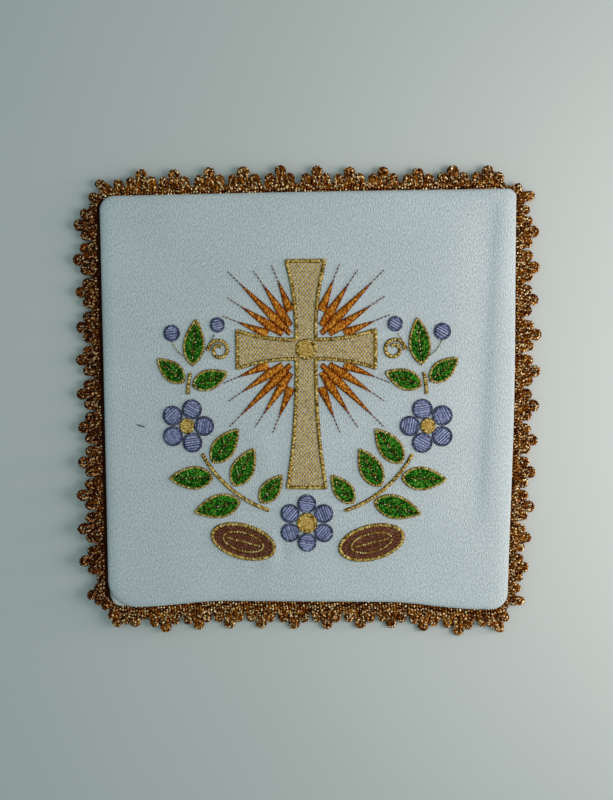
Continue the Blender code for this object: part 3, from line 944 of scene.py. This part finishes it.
scallops = scallopRows()
laceGold = makeMetalMaterial("laceGold", laceLook)

windings = random.Random(lace["seed"] + 1)
cordRoutes = [scallopCord(*scallop, windings) for scallop in scallops]
cordRoutes += [knobCord(*knob) for knob in lace["knobs"]]
cord = lace["cord"]
cordSpread = lace["cordHalf"] - cord["half"]
cordStep = cord["pitch"] / lace["cordSteps"]
loops = growPiece("laceLoops", chainMesh("laceLoops", cordRoutes), "cord", **cord,
                  spread=cordSpread, step=cordStep, material=laceGold)
finishPiece(loops, "gold_lace", ["lace_trim"])


def headingRow(row):  # the middle line of one row of strands, and how long they are along it
    count = int(rim.length / lace["strand"]["pitch"])
    points = []
    widths = []
    for i in range(count):
        along = rim.length * i / count
        start = forSide(lace["headingStart"], rim.at(along)[1])
        spacing = (headingOut(along) - start) / lace["headingRows"]
        points.append(lacePoint(along, start + spacing * (row + 0.5), lace["strandRise"][row]))
        widths.append(spacing + lace["strandOverlap"])
    return points, widths


for number in range(lace["headingRows"]):
    name = f"laceHeading{number + 1}"
    rowPoints, rowWidths = headingRow(number)
    heading = growPiece(
        name, chainMesh(name, [], [rowPoints], rowWidths), "border", **lace["strand"],
        slant=lace["strandSlant"][number], seed=lace["strandSeeds"][number], material=laceGold,
    )
    finishPiece(heading, "gold_lace", ["lace_trim"])


def laceGround():  # the dark ground under the wound rows and between the loops, near black as painted shade in the lace's gaps
    count = lace["groundPoints"]
    places = [rim.length * i / count for i in range(count)]
    edges = []
    for along in places:
        away = min(abs(rim.between(along, scallop[0])) / scallop[2] for scallop in scallops)
        swell = lace["webOut"] * max(0.0, 1 - (away / lace["webHalf"]) ** 6)
        edges.append(headingOut(along) - lace["groundInset"] + swell)
    bm = bmesh.new()
    rings = []
    for atEdge, raised in lace["groundSection"]:
        outs = edges if atEdge else [lace["groundInner"]] * count
        rings.append([bm.verts.new(lacePoint(*spot, raised)) for spot in zip(places, outs)])
    skinRings(bm, rings + rings[:1])
    bmesh.ops.recalc_face_normals(bm, faces=bm.faces)
    mesh = closeMesh(bm, "laceGround")
    mesh.materials.append(makeMetalMaterial("laceGroundShade", groundLook))
    return newObject("laceGround", mesh)


finishPiece(laceGround(), "gold_lace", ["lace_trim"])
print("lace ready")


# Embroidered emblem: a flared cross with fans of rays, over two leafy branches

emblem = {
    "crossing": (0.0, 21.0),
    "crossArms": ((0, 27.0), (90, 34.0), (180, 27.0), (270, 54.0)),  # direction, length
    "armHalf": 4.2,
    "armFlare": 3.8,
    "flarePower": 2.2,
    "discHalf": 3.4,
    "rays": ((22.0, 28.5), (33.5, 30.0), (45.0, 36.0), (56.5, 30.0), (68.0, 28.5)),  # angle, reach
    "rayRoot": 17.0,  # where two rays part
    "raySpread": 5.6,  # half the angle of a ray
    "rayFoot": 5.9,  # the rays start this far from the middle lines of the cross
    "awn": (0.5, 6.0),  # dashes past each ray's tip: from and to
    "branchCentre": (0.0, 2.0),
    "branchRadius": 46.0,
    "branchParts": ((-71.0, -28.0), (2.5, 12.5)),
    "leaves": (
        # angle of the foot on the branch, distance from it, direction, length, width
        (-66.0, -1.6, 128.0, 14.0, 7.4),
        (-57.0, 1.6, -14.0, 19.0, 9.2),
        (-50.0, -1.6, 119.0, 17.0, 8.8),
        (-40.0, 1.6, -2.0, 17.5, 9.0),
        (-34.0, -1.6, 128.0, 17.0, 8.8),
        (6.5, -1.6, 160.0, 15.0, 7.8),
        (8.0, 1.6, 40.0, 14.0, 7.6),
        (16.5, 0.0, 96.0, 18.0, 8.2),
    ),
    "leafSwell": (0.8, 0.85),
    "leafInset": 0.35,
    "veinEnds": (0.6, 1.4),
    "veinShares": (0.28, 0.48, 0.66),  # where the side veins leave the middle one
    "veinStart": 0.3,
    "veinReach": 0.36,
    "netInset": 0.7,
    "cordInset": 0.5,  # middle of the cords that edge the cross and the pods
    "heartGap": 0.45,  # between a blossom's heart and its petals
    "petalGap": 0.12,
    "petalRings": (0.1, 0.62),  # insets of the two dashed lines round a petal
    "strokeInset": 0.25,
    "buds": ((51.8, 27.5, 3.3), (34.0, 30.5, 3.0)),  # x, y, radius
    "budStems": (((45.6, 17.5), (49.6, 20.5), (51.6, 24.2)), ((44.0, 14.6), (37.4, 23.0), (35.0, 27.4))),
    "pod": (25.0, -54.0, 13.0, 6.9, 15.0),  # x, y, half length, half width, turn
    "budGap": 0.1,
    "budTurns": (70.0, 110.0),
    "podInner": (0.62, 0.52),  # an oval inside the pod, and a line along its middle
    "podLine": 0.5,
    "podRow": 1.45,  # length of its short stitches, how they are set off, their gap and the least one
    "podSetOff": 0.35,
    "podGap": 0.08,
    "podLeast": 0.35,
    "tendrilFoot": (33.5, 20.8),
    "tendrilRadius": 4.2,
    "tendrilTurns": 1.35,
    "tendrilClose": 0.62,  # share of the radius that it loses on its way in
}
stitching = {
    "sides": 6,
    "fade": 0.7,
    "raised": 0.06,  # the stitches' ends stand this high on the cloth
    "seed": 21,
    "leastHatch": 0.5,
    "dashes": {  # length and gap
        "vein": (1.1, 0.5),
        "sideVein": (0.9, 0.45),
        "ray": (1.7, 0.35),
        "awn": (1.1, 0.5),
        "stem": (1.1, 0.3),
        "petal": (1.5, 0.22),
    },
}
plainStitch = {
    "half": 0.21,
    "arch": 0.32,
    "points": 7,
    "raised": 0.0,
    "pitch": 0.42,
    "trim": 0.1,  # a fill stays this far inside its outline
    "loose": 0.0,  # how far its ends lie from their place
}
stitchShapes = {  # each piece's own thread, direction and sizes
    "leafFill": {"thread": "green", "slant": 42, "loose": 0.1},
    "rayFill": {"thread": "orange", "slant": 62, "trim": 0.05, "loose": 0.1},
    "rayEdges": {"thread": "rust", "half": 0.17, "arch": 0.12, "points": 4, "raised": 0.08},
    "crossNet": {"thread": "net", "slant": 38, "pitch": 1.02, "trim": 0.0, "half": 0.18, "arch": 0.12,
                 "points": 9},
    "goldFill": {"thread": "net", "slant": 30, "trim": 0.15, "raised": 0.08, "loose": 0.08},
    "podFill": {"thread": "brown", "slant": 90, "trim": 0.4, "arch": 0.2, "points": 5, "loose": 0.05},
    "goldVeins": {"thread": "gold", "half": 0.17, "arch": 0.2, "points": 4, "raised": 0.28},
    "violetGround": {"thread": "violetLight", "slant": 80, "arch": 0.16, "loose": 0.06},
    "violetStrokes": {"thread": "violet", "slant": 80, "pitch": 0.95, "trim": 0.0, "half": 0.24,
                      "raised": 0.1, "loose": 0.32},
    "violetRings": {"thread": "violetDark", "half": 0.18, "arch": 0.14, "points": 4, "raised": 0.2,
                    "loose": 0.06},
}
stitches = {name: {**plainStitch, **row} for name, row in stitchShapes.items()}
plainBorder = {"slant": 0.18, "sides": 5, "uneven": 0.1}
borders = {  # width, height, pitch, half a thread and height on the cloth
    "leafEdges": (0.92, 0.46, 0.46, 0.18, 0.12),
    "goldOutlines": (1.25, 0.55, 0.4, 0.21, 0.06),
    "goldBeads": (0.55, 0.5, 0.62, 0.22, 0.2),
}
borderFade = 0.45  # of its width


def onCloth(points, raised):
    lift = stitching["raised"] + raised
    return [Vector((x, y, clothHeight(x, y) + lift)) for x, y in points]


def turned(points, x, y, degrees):
    turn = Matrix.Rotation(math.radians(degrees), 2)
    return [turn @ Vector(point) + Vector((x, y)) for point in points]


def mirrored(points):
    return [Vector((-point[0], point[1])) for point in reversed(points)]


def bothSides(lines):
    return [*lines, *[mirrored(line) for line in lines]]


def disc(x, y, radius, steps=36):
    turns = [math.tau * step / steps for step in range(steps)]
    return [Vector((x + radius * math.cos(turn), y + radius * math.sin(turn))) for turn in turns]


def insetRing(points, amount):  # the same closed outline, drawn in
    ring = []
    for i, point in enumerate(points):
        before = (point - points[i - 1]).normalized()
        after = (points[(i + 1) % len(points)] - point).normalized()
        first = Vector((-before.y, before.x))
        second = Vector((-after.y, after.x))
        inwards = (first + second).normalized()
        ring.append(point + amount / max(inwards.dot(first), 0.5) * inwards)
    return ring


def evenly(points, step):  # points at even spacing along a line
    line = [points[0].copy()]
    left = step
    for start, end in zip(points, points[1:]):
        length = (end - start).length
        passed = left
        while passed <= length:
            line.append(start.lerp(end, passed / length))
            passed += step
        left = passed - length
    return line


def dashes(points, kind):
    length, gap = stitching["dashes"][kind]
    fine = 0.1
    line = evenly(points, fine)
    whole = round((length + gap) / fine)
    shown = round(length / fine)
    starts = range(0, len(line) - shown // 2, whole)
    return [[line[i], line[min(i + shown, len(line) - 1)]] for i in starts]


def hatch(name, edge, direction=0, side=1):  # parallel stitches of a piece inside an outline
    shape = stitches[name]
    trim = shape["trim"]
    turn = Matrix.Rotation(math.radians(-(direction + side * shape["slant"])), 2)
    back = turn.transposed()
    flat = [turn @ Vector(point) for point in edge]
    lines = []
    height = min(point.y for point in flat) + shape["pitch"] / 2
    top = max(point.y for point in flat)
    while height < top:
        crossings = sorted(
            start.x + (height - start.y) / (end.y - start.y) * (end.x - start.x)
            for start, end in zip(flat, flat[1:] + flat[:1])
            if (start.y > height) != (end.y > height)
        )
        for left, right in zip(crossings[::2], crossings[1::2]):
            if right - left > 2 * trim + stitching["leastHatch"]:
                lines.append([back @ Vector((x, height)) for x in (left + trim, right - trim)])
        height += shape["pitch"]
    return lines


looseness = random.Random(stitching["seed"])


def loosened(lines, amount):  # stitches that end a little apart, as worked thread does
    def slip():
        return looseness.uniform(-amount, amount)

    loose = []
    for start, end in lines:
        ahead = (end - start).normalized()
        beside = Vector((-ahead.y, ahead.x))
        loose.append([point + slip() * ahead + slip() * beside / 3 for point in (start, end)])
    return loose


def crossOutline():
    shape = emblem
    points = []
    steps = 12
    for direction, length in shape["crossArms"]:
        arm = []
        for step in range(steps + 1):
            share = step / steps
            along = shape["armHalf"] + share * (length - shape["armHalf"])
            arm.append((along, shape["armHalf"] + shape["armFlare"] * share ** shape["flarePower"]))
        lower = [(along, -half) for along, half in arm]
        upper = [(along, half) for along, half in reversed(arm)]
        points += turned(lower + upper[:-1], *shape["crossing"], direction)
    return points


def leafSwell(share):
    return math.sin(math.pi * share ** emblem["leafSwell"][0])


def leafHalves(length, width):
    steps = 18
    shares = [step / steps for step in range(1, steps)]
    edge = [(length * share, width / 2 * leafSwell(share) ** emblem["leafSwell"][1]) for share in shares]
    foot, tip = (0.0, 0.0), (length, 0.0)
    return [foot, tip, *reversed(edge)], [foot, *[(x, -y) for x, y in edge], tip]


def leafOutline(length, width):
    upper, lower = leafHalves(length, width)
    return lower + upper[2:]


def leafPlace(angle, beside):
    turn = math.radians(angle)
    reach = emblem["branchRadius"] + beside
    return Vector(emblem["branchCentre"]) + reach * Vector((math.cos(turn), math.sin(turn)))


def branchPath(first, last):
    steps = 60
    return [leafPlace(first + (last - first) * step / steps, 0.0) for step in range(steps + 1)]


def tendrilPath():
    shape = emblem
    path = []
    steps = 70
    for step in range(steps + 1):
        share = step / steps
        turn = math.tau * shape["tendrilTurns"] * share
        radius = shape["tendrilRadius"] * (1 - shape["tendrilClose"] * share)
        path.append(Vector(shape["tendrilFoot"]) + radius * Vector((math.cos(turn), math.sin(turn))))
    return path


def rayOutline(angle, reach):  # a ray along +X from the crossing, as a narrow kite
    shape = emblem
    turn = math.radians(angle)
    foot = max(shape["rayFoot"] / math.sin(turn), shape["rayFoot"] / math.cos(turn))
    spread = math.tan(math.radians(shape["raySpread"]))
    root = shape["rayRoot"]
    half = root * spread
    return [(foot, -foot * spread), (root, -half), (reach, 0.0), (root, half), (foot, foot * spread)]


def fourFans(lines):  # the same lines in each quarter of the crossing
    x, y = emblem["crossing"]
    return [
        [Vector((x + across * point[0], y + up * point[1])) for point in line]
        for across in (1, -1)
        for up in (1, -1)
        for line in lines
    ]


def podPlace(points):
    x, y, halfLength, halfWidth, turn = emblem["pod"]
    return turned([(halfLength * px, halfWidth * py) for px, py in points], x, y, turn)


def petalDiscs():  # x, y, radius and direction of each round petal, then the buds
    discs = []
    for x, y, petals, ring, radius, turn in blossomRows:
        half = min(radius, ring * math.sin(math.pi / petals)) - emblem["petalGap"]
        for petal in range(petals):
            aim = math.radians(turn) + math.tau * petal / petals + math.pi / 2
            place = (x + ring * math.cos(aim), y + ring * math.sin(aim))
            discs.append((*place, half, math.degrees(aim)))
    for x, y, radius in emblem["buds"]:
        half = radius - emblem["budGap"]
        discs += [(side * x, y, half, turn) for side, turn in zip((1, -1), emblem["budTurns"])]
    return discs


def threadSlot(thread):
    family = {"net": "gold", "rust": "orange", "violetLight": "violet", "violetDark": "violet"}
    return family.get(thread, thread) + "_thread"


def threadPiece(name, lines, nodes, exact=()):  # lines of stitches, of which the exact ones aren't loosened
    shape = stitches[name]
    if shape["loose"]:
        lines = loosened(lines, shape["loose"])
    chains = [onCloth(line, shape["raised"]) for line in (*lines, *exact)]
    values = {word: shape[word] for word in ("points", "arch", "half")}
    values.update(fade=stitching["fade"], sides=stitching["sides"], seed=len(chains))
    obj = growPiece(name, chainMesh(name, chains), "stitch", **values, material=threads[shape["thread"]])
    finishPiece(obj, threadSlot(shape["thread"]), nodes)


def borderPiece(name, lines, rings, nodes):  # cords of cross stitches in gold
    width, height, pitch, half, raised = borders[name]
    chains = [onCloth(line, raised) for line in lines]
    closed = [onCloth([ring[0], *ring[:0:-1]], raised) for ring in rings]
    values = {"width": width, "height": height, "pitch": pitch, "half": half, "fade": width * borderFade}
    values.update(plainBorder, seed=len(chains), material=threads["gold"])
    obj = growPiece(name, chainMesh(name, chains, closed), "border", **values)
    finishPiece(obj, threadSlot("gold"), nodes)


def sideNodes(*names):
    return [f"{name}_{side}" for name in names for side in ("right", "left")]


threadLooks = {  # the tones are dark, bronze and bright
    "gold": {"tones": ((0.055, 0.022, 0.001), (0.52, 0.28, 0.028), (1.0, 0.76, 0.25)),
        "glint": (1.0, 0.90, 0.55), "speck": 0.3, "streaky": 0.55, "each": 0.45, "lift": -0.2,
        "tilt": 0.35, "roughness": 0.34, "metallic": 0.3, "specular": 0.1, "ends": 0.6, "glints": 0.8},
    "net": {"tones": ((0.34, 0.18, 0.030), (0.82, 0.50, 0.12), (1.0, 0.80, 0.36)), "streaky": 0.5,
        "lift": -0.14, "speck": 0.3, "metallic": 0.1, "specular": 0.1, "ends": 0.2},
    "orange": {"tones": ((0.17, 0.020, 0.0), (0.62, 0.155, 0.003), (1.0, 0.50, 0.07)), "streaky": 0.55,
        "each": 0.45, "lift": -0.22, "speck": 0.34, "roughness": 0.36, "specular": 0.1, "ends": 0.65},
    "green": {"tones": ((0.0, 0.016, 0.0), (0.006, 0.11, 0.003), (0.12, 0.50, 0.03)), "streaky": 0.55,
        "each": 0.4, "lift": -0.22, "speck": 0.36, "tilt": 0.45, "specular": 0.1, "ends": 0.4},
    "violetLight": {"tones": ((0.26, 0.27, 0.45), (0.56, 0.58, 0.80), (0.86, 0.89, 1.0)), "each": 0.45,
        "lift": -0.2, "tilt": 0.1, "roughness": 0.5, "metallic": 0.0, "ends": 0.3, "glints": 0.2},
    "violet": {"tones": ((0.024, 0.024, 0.074), (0.110, 0.112, 0.26), (0.30, 0.31, 0.52)), "each": 0.5,
        "lift": -0.22, "tilt": 0.1, "roughness": 0.42, "metallic": 0.0, "ends": 0.4, "glints": 0.2},
    "violetDark": {"tones": ((0.008, 0.007, 0.026), (0.026, 0.026, 0.075), (0.10, 0.10, 0.21)),
        "tilt": 0.1, "metallic": 0.0, "ends": 0.2, "glints": 0.1},
    "rust": {"tones": ((0.08, 0.009, 0.0), (0.27, 0.05, 0.001), (0.66, 0.20, 0.010)), "specular": 0.1,
        "ends": 0.3},
    "brown": {"tones": ((0.115, 0.029, 0.013), (0.28, 0.092, 0.046), (0.42, 0.19, 0.105)), "each": 0.4,
        "lift": -0.18, "tilt": 0.12, "roughness": 0.5, "metallic": 0.0, "specular": 0.15, "ends": 0.45,
        "glints": 0.2},
}
threads = {name: makeMetalMaterial(name + "Thread", look) for name, look in threadLooks.items()}

leafNodes = sideNodes(*[f"leaf_{i + 1}" for i in range(len(emblem["leaves"]))])
leafLines = []
leafRings = []
veinLines = []
for angle, beside, direction, length, width in emblem["leaves"]:
    place = (*leafPlace(angle, beside), direction)
    for leafHalf, side in zip(leafHalves(length, width), (1, -1)):
        leafLines += bothSides(hatch("leafFill", turned(leafHalf, *place), direction, side))
    edge = turned(leafOutline(length, width), *place)
    leafRings += [insetRing(ring, emblem["leafInset"]) for ring in (edge, mirrored(edge))]
    fromFoot, fromTip = emblem["veinEnds"]
    veins = dashes(turned([(fromFoot, 0.0), (length - fromTip, 0.0)], *place), "vein")
    for share in emblem["veinShares"]:
        reach = width * emblem["veinReach"] * leafSwell(share)
        for side in (1, -1):
            vein = [(length * share, side * emblem["veinStart"]), (length * share + reach, side * reach)]
            veins += dashes(turned(vein, *place), "sideVein")
    veinLines += bothSides(veins)
threadPiece("leafFill", leafLines, leafNodes)
borderPiece("leafEdges", [], leafRings, leafNodes)

rayLines = []
rayDashes = []
for angle, reach in emblem["rays"]:
    edge = rayOutline(angle, reach)
    rayLines += hatch("rayFill", turned(edge, 0, 0, angle), angle)
    awn = [(reach + past, 0.0) for past in emblem["awn"]]
    for line, kind in ((edge[:3], "ray"), (edge[:1:-1], "ray"), (awn, "awn")):
        rayDashes += dashes(turned(line, 0, 0, angle), kind)
rayNodes = [f"rays_{height}_{side}" for height in ("upper", "lower") for side in ("right", "left")]
threadPiece("rayFill", fourFans(rayLines), rayNodes)
threadPiece("rayEdges", fourFans(rayDashes), rayNodes)

cross = crossOutline()
netEdge = insetRing(cross, emblem["netInset"])
net = [line for side in (-1, 1) for line in hatch("crossNet", netEdge, 90, side)]
threadPiece("crossNet", net, ["cross"])
centre = disc(*emblem["crossing"], emblem["discHalf"])
hearts = []
for x, y, petals, ring, radius, _ in blossomRows:
    petalHalf = min(radius, ring * math.sin(math.pi / petals))
    hearts.append(disc(x, y, ring - petalHalf - emblem["heartGap"]))
threadPiece("goldFill", [line for edge in (centre, *hearts) for line in hatch("goldFill", edge)], ["cross"])

podRing = podPlace(disc(0, 0, 1, 90))
podStitches = []
for count, (start, end) in enumerate(hatch("podFill", podRing, emblem["pod"][4])):
    ahead = (end - start).normalized()
    length = (end - start).length
    row = emblem["podRow"]
    passed = -(count % 2) * emblem["podSetOff"] * row - (length / 2) % row
    while passed < length:
        first, last = max(passed, 0.0), min(passed + row - emblem["podGap"], length)
        if last - first > emblem["podLeast"]:
            podStitches.append([start + first * ahead, start + last * ahead])
        passed += row
threadPiece("podFill", bothSides(podStitches), sideNodes("pod"))
podWide, podHigh = emblem["podInner"]
innerOval = podPlace([(podWide * x, podHigh * y) for x, y in disc(0, 0, 1, 60)])
podLine = podPlace([(side * emblem["podLine"], 0.0) for side in (-1, 1)])

outlineRings = [insetRing(ring, emblem["cordInset"]) for ring in (cross, podRing, mirrored(podRing))]
branches = [branchPath(*part) for part in emblem["branchParts"]]
outlineNodes = ["cross", *sideNodes("branch_1", "branch_2", "tendril")]
borderPiece("goldOutlines", bothSides([*branches, tendrilPath()]),
            [outlineRings[0], centre, *hearts, *outlineRings[1:]], outlineNodes)
borderPiece("goldBeads", bothSides([podLine]), [innerOval, mirrored(innerOval)], sideNodes("pod"))
stems = [smoothRow([Vector(point) for point in stem], 8) for stem in emblem["budStems"]]
stemLines = [line for stem in stems for line in dashes(stem, "stem")]
threadPiece("goldVeins", veinLines + bothSides(stemLines), leafNodes)

groundLines = []
strokeLines = []
ringLines = []
for x, y, radius, direction in petalDiscs():
    groundLines += hatch("violetGround", disc(x, y, radius), direction)
    strokeLines += hatch("violetStrokes", disc(x, y, radius - emblem["strokeInset"]), direction)
    for inset in emblem["petalRings"]:
        ring = disc(x, y, radius - inset, 48)
        ringLines += dashes([*ring, ring[0]], "petal")
blossomNodes = ["blossom_1", "blossom_2", "blossom_3", *sideNodes("bud_1", "bud_2")]
threadPiece("violetGround", groundLines, blossomNodes)
threadPiece("violetStrokes", strokeLines, blossomNodes)
strayStitch = [Vector((-66.0, -8.0)), Vector((-63.1, -8.9))]
threadPiece("violetRings", ringLines, blossomNodes, [strayStitch])
print("emblem ready")


# Camera, light and floor

cameraLook = {
    "place": (15.26, 22.53, 298.84),
    "turn": (-4.10, 2.93, -0.33),  # degrees about x, y and z
    "focalPixels": 767.0,
    "imageSize": (613, 800),
}
camera = newObject("camera", bpy.data.cameras.new("camera"))
camera.location = toFrame @ Vector(cameraLook["place"])
turnMatrix = Matrix.Identity(3)
for angle, axis in zip(cameraLook["turn"], "XYZ"):
    turnMatrix = Matrix.Rotation(math.radians(angle), 3, axis) @ turnMatrix
camera.rotation_euler = turnMatrix.to_euler()
camera.data.sensor_width = 36.0
camera.data.lens = camera.data.sensor_width * cameraLook["focalPixels"] / max(cameraLook["imageSize"])
camera.data.clip_start = 0.01
bpy.context.scene.camera = camera

lightLook = {
    # name: place and aim in millimetres, size, watts, colour
    "key": ((280.0, 0.0, 250.0), (20.0, 0.0, 0.0), 200.0, 0.611, (1.0, 0.962, 0.967)),
    "side": ((470.0, 40.0, 95.0), (0.0, 0.0, 3.0), 160.0, 0.7, (1.0, 0.943, 0.829)),
}
for name, (place, aim, size, power, colour) in lightLook.items():
    lamp = bpy.data.lights.new(name, "AREA")
    lamp.size = size * mm
    lamp.energy = power
    lamp.color = colour
    light = newObject(name, lamp)
    light.location = toFrame @ Vector(place)
    light.rotation_euler = (Vector(place) - Vector(aim)).to_track_quat("Z", "Y").to_euler()

studioLook = {
    "light": (0.716, 0.983, 1.0),
    "strength": 0.362,
    "floorReach": 2.0,  # metres from the middle to a side
    "floorColours": ((0.662, 0.662, 0.635), (0.70, 0.69, 0.662)),
    "floorScale": 9.0,
    "floorRoughness": 0.75,
}
world = bpy.data.worlds.new("studio")
world.use_nodes = True
background = world.node_tree.nodes["Background"]
Board(world.node_tree).plug(background, {
    "Color": (*studioLook["light"], 1.0),
    "Strength": studioLook["strength"],
})
bpy.context.scene.world = world
bpy.context.scene.view_settings.view_transform = "Standard"

floorMesh = bpy.data.meshes.new("floor")
reach = studioLook["floorReach"]
floorMesh.from_pydata([(-reach, -reach, 0), (reach, -reach, 0), (reach, reach, 0), (-reach, reach, 0)],
                      [], [(0, 1, 2, 3)])
floorMaterial, floorBoard, floorShader = newMaterial("paleFloor")
floorPlace = floorBoard.add("ShaderNodeTexCoord", output="Object")
floorTone = floorBoard.noise(floorPlace, studioLook["floorScale"], 2.0)
floorBoard.plug(floorShader, {
    "Base Color": floorBoard.mix(floorTone, *studioLook["floorColours"]),
    "Roughness": studioLook["floorRoughness"],
})
floorMesh.materials.append(floorMaterial)
floor = newObject("floor", floorMesh)
